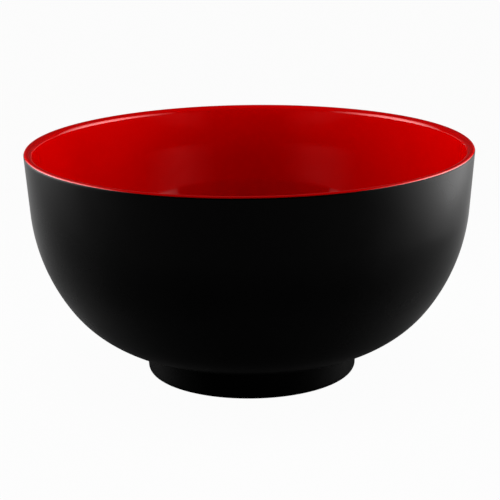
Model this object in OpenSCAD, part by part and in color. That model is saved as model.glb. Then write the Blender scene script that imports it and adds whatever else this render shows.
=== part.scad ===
// Two-tone melamine bowl, moulded in two shots: a matte black shell with a foot ring, and a gloss red liner
// whose lip covers the edge of the shell. Millimetres, +Z up, origin on the table at the middle of the foot.

// Both layers come from one section, drawn as [distance from the axis, height]. Its outer line runs from the lip
// down a straight drafted wall, round a shoulder arc and a belly arc, and across a shallow floor arc to the axis,
// each tangent to the next. A layer's faces are that line set in by a depth, so all the arcs keep their centres.
// A slope is in degrees from vertical, and grows from the wall to the floor.

/* [Bowl] */
// Outer diameter at the top of the lip, before its edge is rounded
rim_d = 155; // [140:1:170]
// Height from the table to the top of the lip
bowl_h = 80; // [68:1:100]
// Draft of the straight wall
wall_draft = 4.3; // [1:0.1:8]
// Radius of the shoulder, the arc below the straight wall
shoulder_r = 64; // [50:1:75]
// Slope at which the shoulder runs into the belly
shoulder_turn = 35.5; // [25:0.5:45]
// Radius of the belly, the arc that turns in over the foot
belly_r = 43; // [35:1:50]
// Radius of the floor, the shallow arc that ends at the axis
floor_r = 320; // [200:5:500]
// Height of the underside above the table, at the axis
base_h = 7.2; // [4:0.1:9]

/* [Layers] */
// Thickness of the shell
shell_t = 1.7; // [1:0.1:3]
// Thickness of the liner
liner_t = 1.3; // [0.8:0.1:3]

/* [Lip] */
// Height of the liner's lip over the edge of the shell
lip_h = 0.4; // [0.3:0.05:1.5]
// Rounding of the lip's outer edge
lip_outer_r = 0.9; // [0.2:0.1:1]
// Rounding of the lip's inner edge
lip_inner_r = 1.8; // [0.2:0.1:2]
// Narrowest flat left between the two roundings, which limits the inner one
lip_land = 0.2; // [0.1:0.1:0.6]

/* [Foot] */
// Outer diameter of the foot at the table, before its edge is rounded
foot_d = 73.2; // [60:0.2:84]
// Width of the foot ring at the table
foot_w = 4.2; // [3.2:0.1:8]
// Draft of the foot's two walls
foot_draft = 3.4; // [0.5:0.1:8]
// Rounding of the foot's outer edge
foot_outer_r = 1.75; // [0.3:0.05:2]
// Rounding of the foot's inner edge
foot_inner_r = 0.8; // [0.3:0.1:1]
// Fillet between the foot and the belly
foot_fillet_r = 1; // [0.3:0.1:2]
// Fillet between the foot and the underside, in the recess
recess_fillet_r = 2; // [0.5:0.1:3]

/* [Hidden] */
$fn = 180;

// How far a cut runs past the face that it cuts
cut = 1;
// How much larger than tangent an arc is, so that it crosses the lines that it joins and doesn't only touch them
bite = 0.001;

rim_r = rim_d / 2;
foot_r = foot_d / 2;
wall_t = shell_t + liner_t;

// Unit vectors: at an angle anticlockwise from outward, and square to the outer line where it has this slope
function unit(angle) = [cos(angle), sin(angle)];
function outward(slope) = unit(-slope);

// Places where a line that leaves start along a unit vector is at this distance from a centre: going in, going out
function enters(start, along, centre, distance) =
    let (back = start - centre)
    let (middle = along * back)
    start - (middle + sqrt(middle * middle - back * back + distance * distance)) * along;
function leaves(start, along, centre, distance) = enters(start, -along, centre, distance);

// Angle of the line from one point to another, anticlockwise from outward
function heading(from, to) = atan2(to.y - from.y, to.x - from.x);

// Centres of the arcs. With the straight wall left out, the belly's centre would be at belly_start. The wall takes
// the length that brings the belly down until it is tangent to the floor.
down_wall = [-sin(wall_draft), -cos(wall_draft)];
floor_c = [0, base_h + floor_r];
belly_start = [rim_r, bowl_h] - shoulder_r * outward(wall_draft) + (shoulder_r - belly_r) * outward(shoulder_turn);
belly_c = leaves(belly_start, down_wall, floor_c, floor_r - belly_r);
shoulder_c = belly_c - (shoulder_r - belly_r) * outward(shoulder_turn);
belly_turn = -heading(floor_c, belly_c);

// Fillets of the lip, limited by the wall that they round
lip_outer = min(lip_outer_r, wall_t / 3);
lip_inner = min(lip_inner_r, (wall_t - lip_land - lip_outer * (1 + sin(wall_draft))) / (1 - sin(wall_draft)));

// Below the bowl, a point faces either the belly or the floor
function faces_belly(point) = -heading(belly_c, point) <= belly_turn;
function faced_centre(point) = faces_belly(point) ? belly_c : floor_c;

// Centre of a fillet that rolls up a foot wall until it touches the bowl
function fillet_centre(start, along, radius) =
    let (on_belly = enters(start, along, belly_c, belly_r + radius))
    faces_belly(on_belly) ? on_belly : enters(start, along, floor_c, floor_r + radius);

// Corner that an arc of the outer line rounds, where the lines at its two ends would meet
function arc_corner(centre, radius, from, to) = centre + radius / cos((to - from) / 2) * outward((from + to) / 2);

// What lies past an arc, between the angles of its ends: it is cut from an outside corner to round it, and added
// to an inside corner to fill it
module past_arc(centre, radius, from, to) {
    start = centre + radius * unit(from);
    end = centre + radius * unit(to);
    far = radius * unit((from + to) / 2);
    difference() {
        polygon([start, start + far, end + far, end]);
        translate(centre) circle(radius + bite);
    }
}

// All that is inside the outer line set in by a depth, up to a height
module inside(depth, top) {
    shoulder = shoulder_r - depth;
    belly = belly_r - depth;
    floor = floor_r - depth;
    difference() {
        polygon([
            [0, base_h + depth],
            arc_corner(floor_c, floor, belly_turn, 90),
            arc_corner(belly_c, belly, shoulder_turn, belly_turn),
            arc_corner(shoulder_c, shoulder, wall_draft, shoulder_turn),
            [rim_r - depth / cos(wall_draft) + (top - bowl_h) * tan(wall_draft), top],
            [0, top]
        ]);
        past_arc(shoulder_c, shoulder, -shoulder_turn, -wall_draft);
        past_arc(belly_c, belly, -belly_turn, -shoulder_turn);
        past_arc(floor_c, floor, -90, -belly_turn);
    }
}

module lip_roundings() {
    outer_c = [rim_r - lip_outer * (1 + sin(wall_draft)) / cos(wall_draft), bowl_h - lip_outer];
    inner_c = [rim_r - (wall_t - lip_inner * (1 - sin(wall_draft))) / cos(wall_draft), bowl_h - lip_inner];
    past_arc(outer_c, lip_outer, -wall_draft, 90);
    past_arc(inner_c, lip_inner, 90, 180 - wall_draft);
}

module foot_roundings() {
    inset = (1 - sin(foot_draft)) / cos(foot_draft);
    past_arc([foot_r - foot_outer_r * inset, foot_outer_r], foot_outer_r, -90, -foot_draft);
    past_arc([foot_r - foot_w + foot_inner_r * inset, foot_inner_r], foot_inner_r, 180 + foot_draft, 270);
}

// The foot ring, which runs on up inside the bowl's outer line
module foot_ring() {
    top = belly_c.y;
    lean = top * tan(foot_draft);
    difference() {
        polygon([
            [foot_r - foot_w, 0],
            [foot_r, 0],
            [foot_r + lean, top],
            [foot_r - foot_w - lean, top]
        ]);
        foot_roundings();
    }
}

module foot_fillets() {
    outer_start = [foot_r + foot_fillet_r / cos(foot_draft), 0];
    outer_c = fillet_centre(outer_start, [sin(foot_draft), cos(foot_draft)], foot_fillet_r);
    past_arc(outer_c, foot_fillet_r, heading(outer_c, faced_centre(outer_c)), 180 - foot_draft);
    inner_start = [foot_r - foot_w - recess_fillet_r / cos(foot_draft), 0];
    inner_c = fillet_centre(inner_start, [-sin(foot_draft), cos(foot_draft)], recess_fillet_r);
    past_arc(inner_c, recess_fillet_r, foot_draft, heading(inner_c, faced_centre(inner_c)));
}

// Section of the whole bowl, both layers
module bowl_section() {
    difference() {
        union() {
            inside(0, bowl_h);
            foot_ring();
            foot_fillets();
        }
        inside(wall_t, bowl_h + cut);
        lip_roundings();
    }
}

// Where the section is shell: outside the liner's back face and below its lip
module shell_zone() {
    difference() {
        translate([0, -cut]) square([rim_d, bowl_h - lip_h + cut]);
        inside(shell_t, bowl_h);
    }
}

module outer_shell() {
    color("#141414") rotate_extrude() intersection() {
        bowl_section();
        shell_zone();
    }
}

module inner_liner() {
    color("#b80000") rotate_extrude() difference() {
        bowl_section();
        shell_zone();
    }
}

outer_shell();
inner_liner();
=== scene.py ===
"""Looks of a two-tone melamine bowl: matte black outside, gloss red inside, on a pale studio floor.

Both layers are turned from one section, drawn in millimetres as (distance from the axis, height). A slope
is in degrees from vertical, and grows from the bowl's wall to its floor. The studio is in metres, and the
camera stands on the -Y side. At the end of a name, R is a radius or a distance from the middle, H a height,
T a thickness, W a width and C a centre.
"""

import math

import bpy
from mathutils import Matrix, Vector

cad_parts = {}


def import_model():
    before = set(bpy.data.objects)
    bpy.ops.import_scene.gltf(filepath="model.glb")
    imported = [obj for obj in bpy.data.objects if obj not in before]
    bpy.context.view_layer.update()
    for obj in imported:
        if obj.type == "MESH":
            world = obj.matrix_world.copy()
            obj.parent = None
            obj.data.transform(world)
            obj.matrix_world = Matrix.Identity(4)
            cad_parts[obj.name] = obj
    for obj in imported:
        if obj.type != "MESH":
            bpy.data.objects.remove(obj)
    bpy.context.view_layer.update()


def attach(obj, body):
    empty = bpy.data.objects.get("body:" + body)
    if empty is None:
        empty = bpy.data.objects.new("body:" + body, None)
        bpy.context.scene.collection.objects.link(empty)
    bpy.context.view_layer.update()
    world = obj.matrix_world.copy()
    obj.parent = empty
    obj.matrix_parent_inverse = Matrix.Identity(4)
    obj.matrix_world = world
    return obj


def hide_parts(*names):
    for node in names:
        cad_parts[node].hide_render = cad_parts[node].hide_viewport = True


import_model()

MM = 0.001

# Section of the bowl, in millimetres and degrees
RIM_R = 77.5
BOWL_H = 80.0
WALL_DRAFT = 4.3
SHOULDER_R = 64.0
SHOULDER_TURN = 35.5
BELLY_R = 43.0
FLOOR_R = 320.0
BASE_H = 7.2
SHELL_T = 1.7
LINER_T = 1.3
WALL_T = SHELL_T + LINER_T
LIP_H = 0.4
LIP_OUTER_R = 0.9
LIP_INNER_R = 1.8
FOOT_R = 36.6
FOOT_W = 4.2
FOOT_DRAFT = 3.4
FOOT_OUTER_R = 1.75
FOOT_INNER_R = 0.8
FOOT_FILLET_R = 1.0
RECESS_FILLET_R = 2.0

# Fineness of the turned meshes: faces round the axis, and steps along each stretch of the section
ROUND_FACES = 288
LONG_STEPS = 36
WALL_STEPS = 12
FILLET_STEPS = 16
# Angle between faces from which an edge is drawn as a corner
CORNER_ANGLE = math.radians(40)


def unit(angle):
    """Unit vector at an angle in degrees, anticlockwise from outward."""
    return Vector((math.cos(math.radians(angle)), math.sin(math.radians(angle))))


def outward(slope):
    """Unit vector square to the outer line where it has this slope."""
    return unit(-slope)


def heading(start, end):
    """Angle in degrees of the line from one point to another, anticlockwise from outward."""
    return math.degrees(math.atan2(end.y - start.y, end.x - start.x))


def enters(start, along, centre, distance):
    """Place where a line through start, along a unit vector, first comes within a distance of a centre."""
    back = start - centre
    middle = along.dot(back)
    return start - (middle + math.sqrt(middle**2 - back.dot(back) + distance**2)) * along


def arc(centre, radius, start, end, steps):
    """Points on an arc, both ends included, between two angles in degrees."""
    return [centre + radius * unit(start + (end - start) * i / steps) for i in range(steps + 1)]


def line(start, end, steps):
    """Points on a straight stretch, without its ends."""
    return [start.lerp(end, i / steps) for i in range(1, steps)]


# Centres of the arcs of the outer line, each tangent to the next
WALL_TOP = Vector((RIM_R, BOWL_H))
SHOULDER_STEP = SHOULDER_R - BELLY_R
FLOOR_C = Vector((0, BASE_H + FLOOR_R))
BELLY_START = WALL_TOP - SHOULDER_R * outward(WALL_DRAFT) + SHOULDER_STEP * outward(SHOULDER_TURN)
BELLY_C = enters(BELLY_START, unit(90 - WALL_DRAFT), FLOOR_C, FLOOR_R - BELLY_R)
SHOULDER_C = BELLY_C - SHOULDER_STEP * outward(SHOULDER_TURN)
BELLY_TURN = -heading(FLOOR_C, BELLY_C)

# Centres of the lip's roundings, and the angle at which the outer one meets the joint between the layers
DRAFT_SIN = math.sin(math.radians(WALL_DRAFT))
DRAFT_COS = math.cos(math.radians(WALL_DRAFT))
LIP_OUTER_C = Vector((RIM_R - LIP_OUTER_R * (1 + DRAFT_SIN) / DRAFT_COS, BOWL_H - LIP_OUTER_R))
LIP_INNER_C = Vector((RIM_R - (WALL_T - LIP_INNER_R * (1 - DRAFT_SIN)) / DRAFT_COS, BOWL_H - LIP_INNER_R))
JOINT_ANGLE = math.degrees(math.asin((LIP_OUTER_R - LIP_H) / LIP_OUTER_R))


def wall_point(depth, height):
    """Point on the straight wall, set in by a depth."""
    return Vector((RIM_R - (depth + (BOWL_H - height) * DRAFT_SIN) / DRAFT_COS, height))


def bowl_curve(depth, start_slope):
    """The belly and shoulder arcs set in by a depth, from a slope of the belly up to the straight wall."""
    belly = arc(BELLY_C, BELLY_R - depth, -start_slope, -SHOULDER_TURN, LONG_STEPS)
    shoulder = arc(SHOULDER_C, SHOULDER_R - depth, -SHOULDER_TURN, -WALL_DRAFT, LONG_STEPS)
    return belly + shoulder[1:]


def layer_face(depth, top):
    """A layer's face set in by a depth, from the axis up to a point on the wall."""
    base = arc(FLOOR_C, FLOOR_R - depth, -90, -BELLY_TURN, LONG_STEPS)
    curve = bowl_curve(depth, BELLY_TURN)
    return base + curve[1:] + line(curve[-1], top, WALL_STEPS) + [top]


def joint_face():
    """The face between the two layers, from the axis up to the shell's edge."""
    return layer_face(SHELL_T, wall_point(SHELL_T, BOWL_H - LIP_H))


def foot_profile():
    """The underside and the foot ring, from the axis to the belly, and the slope at which they meet it."""
    draft_sin = math.sin(math.radians(FOOT_DRAFT))
    draft_cos = math.cos(math.radians(FOOT_DRAFT))
    inset = (1 - draft_sin) / draft_cos
    ring_in = FOOT_R - FOOT_W
    recess_start = Vector((ring_in - RECESS_FILLET_R / draft_cos, 0))
    recess_c = enters(recess_start, unit(90 + FOOT_DRAFT), FLOOR_C, FLOOR_R + RECESS_FILLET_R)
    fillet_start = Vector((FOOT_R + FOOT_FILLET_R / draft_cos, 0))
    fillet_c = enters(fillet_start, unit(90 - FOOT_DRAFT), BELLY_C, BELLY_R + FOOT_FILLET_R)
    inner_c = Vector((ring_in + FOOT_INNER_R * inset, FOOT_INNER_R))
    outer_c = Vector((FOOT_R - FOOT_OUTER_R * inset, FOOT_OUTER_R))
    underside = arc(FLOOR_C, FLOOR_R, -90, heading(FLOOR_C, recess_c), LONG_STEPS)
    recess = arc(recess_c, RECESS_FILLET_R, heading(recess_c, FLOOR_C), FOOT_DRAFT, FILLET_STEPS)
    inner_edge = arc(inner_c, FOOT_INNER_R, 180 + FOOT_DRAFT, 270, FILLET_STEPS)
    outer_edge = arc(outer_c, FOOT_OUTER_R, -90, -FOOT_DRAFT, FILLET_STEPS)
    fillet = arc(fillet_c, FOOT_FILLET_R, 180 - FOOT_DRAFT, heading(fillet_c, BELLY_C), FILLET_STEPS)
    points = (
        underside
        + recess[1:]
        + line(recess[-1], inner_edge[0], WALL_STEPS)
        + inner_edge
        + outer_edge
        + line(outer_edge[-1], fillet[0], WALL_STEPS)
        + fillet
    )
    return points, -heading(BELLY_C, fillet_c)


def shell_section():
    """Outline of the black layer, from the axis round its outside and back along the liner."""
    underside, belly_slope = foot_profile()
    curve = bowl_curve(0, belly_slope)
    lip = arc(LIP_OUTER_C, LIP_OUTER_R, -WALL_DRAFT, JOINT_ANGLE, FILLET_STEPS)
    return underside + curve[1:] + line(curve[-1], lip[0], WALL_STEPS) + lip + joint_face()[::-1]


def liner_section():
    """Outline of the red layer, from the axis up its back, over the lip and down its gloss face."""
    outer_edge = arc(LIP_OUTER_C, LIP_OUTER_R, JOINT_ANGLE, 90, FILLET_STEPS)
    inner_edge = arc(LIP_INNER_C, LIP_INNER_R, 90, 180 - WALL_DRAFT, FILLET_STEPS)
    face = layer_face(WALL_T, inner_edge[-1])
    return joint_face() + outer_edge + inner_edge + face[-2::-1]


def copies(section, scale):
    """Points of a section's copies, turned about the axis to each face round it, in metres by a scale."""
    turns = [2 * math.pi * i / ROUND_FACES for i in range(ROUND_FACES)]
    return [
        (point.x * scale * math.cos(turn), point.x * scale * math.sin(turn), point.y * scale)
        for turn in turns
        for point in section
    ]


def neighbours(start, count):
    """For each copy of count points, the numbers of its first point and of the next copy's, from a start."""
    return [(start + i * count, start + (i + 1) % ROUND_FACES * count) for i in range(ROUND_FACES)]


def smooth_object(name, points, faces, material):
    """An object with a smoothly shaded mesh, in the scene."""
    mesh = bpy.data.meshes.new(name)
    mesh.from_pydata(points, [], faces)
    mesh.shade_smooth()
    mesh.materials.append(material)
    made = bpy.data.objects.new(name, mesh)
    bpy.context.scene.collection.objects.link(made)
    return made


def turned(name, section, material):
    """A closed piece turned from a section whose two ends lie on the axis."""
    ends = [(0, 0, end.y * MM) for end in (section[0], section[-1])]
    ring = section[1:-1]
    last = len(ring) - 1
    faces = []
    for here, there in neighbours(len(ends), len(ring)):
        faces.append((0, there, here))
        faces += [(here + j, there + j, there + j + 1, here + j + 1) for j in range(last)]
        faces.append((here + last, there + last, 1))
    piece = smooth_object(name, ends + copies(ring, MM), faces, material)
    piece.data.set_sharp_from_angle(angle=CORNER_ANGLE)
    return piece


# Values between which most of a noise texture lies
NOISE_LOW = 0.3
NOISE_HIGH = 0.7


def new_material(name):
    """A node material, with its node tree and its shader."""
    material = bpy.data.materials.new(name)
    material.use_nodes = True
    tree = material.node_tree
    return material, tree, tree.nodes["Principled BSDF"]


def noise(tree, scale, detail):
    """Noise over the object's own coordinates, with a scale in cycles to the metre."""
    place = tree.nodes.new("ShaderNodeTexCoord")
    texture = tree.nodes.new("ShaderNodeTexNoise")
    texture.inputs["Scale"].default_value = scale
    texture.inputs["Detail"].default_value = detail
    tree.links.new(place.outputs["Object"], texture.inputs["Vector"])
    return texture.outputs["Fac"]


def ranged(tree, value, low, high):
    """A noise value spread between two numbers."""
    spread = tree.nodes.new("ShaderNodeMapRange")
    spread.inputs["From Min"].default_value = NOISE_LOW
    spread.inputs["From Max"].default_value = NOISE_HIGH
    spread.inputs["To Min"].default_value = low
    spread.inputs["To Max"].default_value = high
    tree.links.new(value, spread.inputs["Value"])
    return spread.outputs["Result"]


def tinted(tree, value, dark, light):
    """A noise value turned into a colour between two."""
    ramp = tree.nodes.new("ShaderNodeValToRGB")
    ramp.color_ramp.elements[0].position = NOISE_LOW
    ramp.color_ramp.elements[0].color = (*dark, 1)
    ramp.color_ramp.elements[1].position = NOISE_HIGH
    ramp.color_ramp.elements[1].color = (*light, 1)
    tree.links.new(value, ramp.inputs["Fac"])
    return ramp.outputs["Color"]


def bumped(tree, height, distance, strength):
    """A normal from a height, where distance is the relief in metres."""
    bump = tree.nodes.new("ShaderNodeBump")
    bump.inputs["Distance"].default_value = distance
    bump.inputs["Strength"].default_value = strength
    tree.links.new(height, bump.inputs["Height"])
    return bump.outputs["Normal"]


def calculated(tree, operation, first, second):
    """What a Math node makes of a value and a second one, which may be a number."""
    node = tree.nodes.new("ShaderNodeMath")
    node.operation = operation
    tree.links.new(first, node.inputs[0])
    if isinstance(second, float):
        node.inputs[1].default_value = second
    else:
        tree.links.new(second, node.inputs[1])
    return node.outputs["Value"]


def risen(tree, value, start, end, least):
    """A level that rises smoothly from least to 1 while a value goes from start to end."""
    rise = tree.nodes.new("ShaderNodeMapRange")
    rise.interpolation_type = "SMOOTHSTEP"
    rise.inputs["From Min"].default_value = start
    rise.inputs["From Max"].default_value = end
    rise.inputs["To Min"].default_value = least
    tree.links.new(value, rise.inputs["Value"])
    return rise.outputs["Result"]


# Detail of the clouds that make both finishes slightly uneven
CLOUD_DETAIL = 2


def melamine(name, colours, roughness, cloud_scale, relief_scale, relief_detail, relief, strength):
    """A moulded finish with clouds in its colour and roughness and a fine relief, and its shader."""
    material, tree, shader = new_material(name)
    cloud = noise(tree, cloud_scale, CLOUD_DETAIL)
    height = noise(tree, relief_scale, relief_detail)
    tree.links.new(tinted(tree, cloud, *colours), shader.inputs["Base Color"])
    tree.links.new(ranged(tree, cloud, *roughness), shader.inputs["Roughness"])
    tree.links.new(bumped(tree, height, relief, strength), shader.inputs["Normal"])
    return material, shader


BLACK_SPECULAR_LEVEL = 0.022


def black_melamine():
    """Matte black, with the fine grain that an etched mould leaves."""
    material, shader = melamine(
        "black_melamine",
        colours=((0.0008, 0.0008, 0.0008), (0.0014, 0.0014, 0.0014)),
        roughness=(0.26, 0.32),
        cloud_scale=45,
        relief_scale=2600,
        relief_detail=3,
        relief=0.00001,
        strength=0.5,
    )
    shader.inputs["Specular IOR Level"].default_value = BLACK_SPECULAR_LEVEL
    return material


RED_IOR = 1.54
RED_SPECULAR_TINT = (1, 0.34, 0.34, 1)


def red_melamine():
    """Gloss red, polished, with a trace of the mould's waviness."""
    material, shader = melamine(
        "red_melamine",
        colours=((0.41, 0.0, 0.0), (0.45, 0.0, 0.0)),
        roughness=(0.05, 0.07),
        cloud_scale=30,
        relief_scale=160,
        relief_detail=1,
        relief=0.00002,
        strength=0.3,
    )
    shader.inputs["IOR"].default_value = RED_IOR
    shader.inputs["Specular Tint"].default_value = RED_SPECULAR_TINT
    return material


# Studio floor: a pale disc, just under the foot, that turns up into a backdrop all round
STUDIO_DROP = 0.0001
STUDIO_FLAT_R = 4.0
STUDIO_BEND_R = 0.5
STUDIO_H = 0.95
STUDIO_ROUGHNESS = 0.4
STUDIO_SPECULAR_LEVEL = 0.2
STUDIO_GREY = 0.3
# Share of white that the camera sees in place of the lit grey
STUDIO_WHITE = 0.97

# Painted shade under the belly, darkening the floor's grey: what it leaves of the grey, and how far from the
# foot's middle it is full and ends
PAINTED_SHADE_LEAST = 0.1
PAINTED_SHADE_FULL_R = 0.046
PAINTED_SHADE_END_R = 0.09

# Painted pool of light on the floor, a glow that only reflections see: its level, and what is left of that
# outside it
PAINTED_POOL_LEVEL = 0.85
PAINTED_POOL_LEAST = 0.04
# Distances from the foot's middle at which the painted pool starts, is full, fades and ends
PAINTED_POOL_START_R = 0.105
PAINTED_POOL_FULL_R = 0.22
PAINTED_POOL_FADE_R = 0.6
PAINTED_POOL_END_R = 1.0


def from_middle(tree):
    """Distance from the middle of the foot."""
    place = tree.nodes.new("ShaderNodeNewGeometry")
    length = tree.nodes.new("ShaderNodeVectorMath")
    length.operation = "LENGTH"
    tree.links.new(place.outputs["Position"], length.inputs[0])
    return length.outputs["Value"]


def floor_material():
    """Lit grey with a painted shade under the belly, which the camera sees as nearly white and reflections
    as a painted pool of light.
    """
    material, tree, shader = new_material("pale_floor")
    shader.inputs["Roughness"].default_value = STUDIO_ROUGHNESS
    shader.inputs["Specular IOR Level"].default_value = STUDIO_SPECULAR_LEVEL
    distance = from_middle(tree)
    # Painted shade: the floor's grey darkens towards the foot, under the belly
    painted_shade = risen(tree, distance, PAINTED_SHADE_FULL_R, PAINTED_SHADE_END_R, PAINTED_SHADE_LEAST)
    grey = calculated(tree, "MULTIPLY", painted_shade, STUDIO_GREY)
    tree.links.new(grey, shader.inputs["Base Color"])
    # Painted pool of light: a glow by distance from the foot's middle that only reflections see
    inner = risen(tree, distance, PAINTED_POOL_START_R, PAINTED_POOL_FULL_R, PAINTED_POOL_LEAST)
    outer = risen(tree, distance, PAINTED_POOL_END_R, PAINTED_POOL_FADE_R, PAINTED_POOL_LEAST)
    spread = calculated(tree, "MULTIPLY", inner, outer)
    painted_pool = calculated(tree, "MULTIPLY", spread, PAINTED_POOL_LEVEL)
    path = tree.nodes.new("ShaderNodeLightPath")
    seen = calculated(tree, "MULTIPLY", path.outputs["Is Camera Ray"], STUDIO_WHITE)
    mirrored = calculated(tree, "ADD", path.outputs["Is Glossy Ray"], path.outputs["Is Transmission Ray"])
    pooled = calculated(tree, "MULTIPLY", mirrored, painted_pool)
    white = tree.nodes.new("ShaderNodeEmission")
    mix = tree.nodes.new("ShaderNodeMixShader")
    tree.links.new(calculated(tree, "ADD", seen, pooled), mix.inputs["Fac"])
    tree.links.new(shader.outputs["BSDF"], mix.inputs[1])
    tree.links.new(white.outputs["Emission"], mix.inputs[2])
    tree.links.new(mix.outputs["Shader"], tree.nodes["Material Output"].inputs["Surface"])
    return material


def floor():
    """The floor and its backdrop, turned in one piece."""
    bend = arc(Vector((STUDIO_FLAT_R, STUDIO_BEND_R)), STUDIO_BEND_R, -90, 0, FILLET_STEPS)
    section = bend + [Vector((STUDIO_FLAT_R + STUDIO_BEND_R, STUDIO_H))]
    points = [(0, 0, 0)] + copies(section, 1)
    faces = []
    for here, there in neighbours(1, len(section)):
        faces.append((0, here, there))
        faces += [(here + j, here + j + 1, there + j + 1, there + j) for j in range(len(section) - 1)]
    disc = smooth_object("floor", points, faces, floor_material())
    disc.location.z = -STUDIO_DROP


# Lamps: the angle that their grids let through, and their width
GRID_SPREAD = math.radians(130)
LAMP_W = 0.45
# Shares of a lamp's width, at each side, and of its height, at the top, over which it fades
SIDE_FADE = 0.5
TOP_FADE = 0.3
# Share of its light that is left at the very side
SIDE_LIGHT = 0.12
# Middle of a lamp, as a share of its width
LAMP_MIDDLE = 0.5


def fade(lamp):
    """Dims a lamp towards its two sides and its top."""
    lamp.use_nodes = True
    tree = lamp.node_tree
    place = tree.nodes.new("ShaderNodeNewGeometry")
    split = tree.nodes.new("ShaderNodeSeparateXYZ")
    tree.links.new(place.outputs["Parametric"], split.inputs["Vector"])
    from_side = calculated(tree, "PINGPONG", split.outputs["X"], LAMP_MIDDLE)
    across = risen(tree, from_side, 0, SIDE_FADE, SIDE_LIGHT)
    up = risen(tree, split.outputs["Y"], 1, 1 - TOP_FADE, 0)
    tree.links.new(calculated(tree, "MULTIPLY", across, up), tree.nodes["Emission"].inputs["Strength"])


def softbox(name, place, height, watts):
    """An upright soft lamp that faces the bowl's axis."""
    lamp = bpy.data.lights.new(name, "AREA")
    lamp.shape = "RECTANGLE"
    lamp.size = LAMP_W
    lamp.size_y = height
    lamp.energy = watts
    lamp.spread = GRID_SPREAD
    fade(lamp)
    to_axis = Vector((-place[0], -place[1], 0))
    stand = bpy.data.objects.new(name, lamp)
    stand.location = place
    stand.rotation_euler = to_axis.to_track_quat("-Z", "Y").to_euler()
    bpy.context.scene.collection.objects.link(stand)


WORLD_GREY = (0.02, 0.02, 0.02, 1)


def world():
    """Dim even light from all round."""
    surroundings = bpy.data.worlds.new("surroundings")
    surroundings.use_nodes = True
    surroundings.node_tree.nodes["Background"].inputs["Color"].default_value = WORLD_GREY
    bpy.context.scene.world = surroundings


# Camera: fitted to the rim, the outline and the foot, with its focal length in pixels of the photo
CAMERA_DISTANCE = 0.590
CAMERA_PITCH = math.radians(15.30)
CAMERA_ROLL = math.radians(-0.716)
CAMERA_AIM = Vector((-0.00016, 0, 0.04238))
FOCAL_PIXELS = 1680
PHOTO_WIDTH = 500
# Width of the camera's sensor in millimetres
SENSOR_WIDTH = 36


def camera():
    """The camera, in front of the bowl and a little above its rim."""
    data = bpy.data.cameras.new("camera")
    data.sensor_width = SENSOR_WIDTH
    data.lens = SENSOR_WIDTH * FOCAL_PIXELS / PHOTO_WIDTH
    forward = Vector((0, math.cos(CAMERA_PITCH), -math.sin(CAMERA_PITCH)))
    stand = bpy.data.objects.new("camera", data)
    level = forward.to_track_quat("-Z", "Y").to_matrix().to_4x4()
    place = Matrix.Translation(CAMERA_AIM - CAMERA_DISTANCE * forward)
    stand.matrix_world = place @ level @ Matrix.Rotation(CAMERA_ROLL, 4, "Z")
    bpy.context.scene.collection.objects.link(stand)
    bpy.context.scene.camera = stand


camera()
world()
floor()
softbox("right_softbox", place=(0.22, 0.015, 0.172), height=0.322, watts=2.86)
softbox("left_softbox", place=(-0.24, 0.028, 0.196), height=0.32, watts=2.98)

pieces = {
    "outer_shell": turned("black_shell", shell_section(), black_melamine()),
    "inner_liner": turned("red_liner", liner_section(), red_melamine()),
}
for node, piece in pieces.items():
    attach(piece, "root")
    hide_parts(node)

bpy.context.scene.view_settings.view_transform = "Standard"
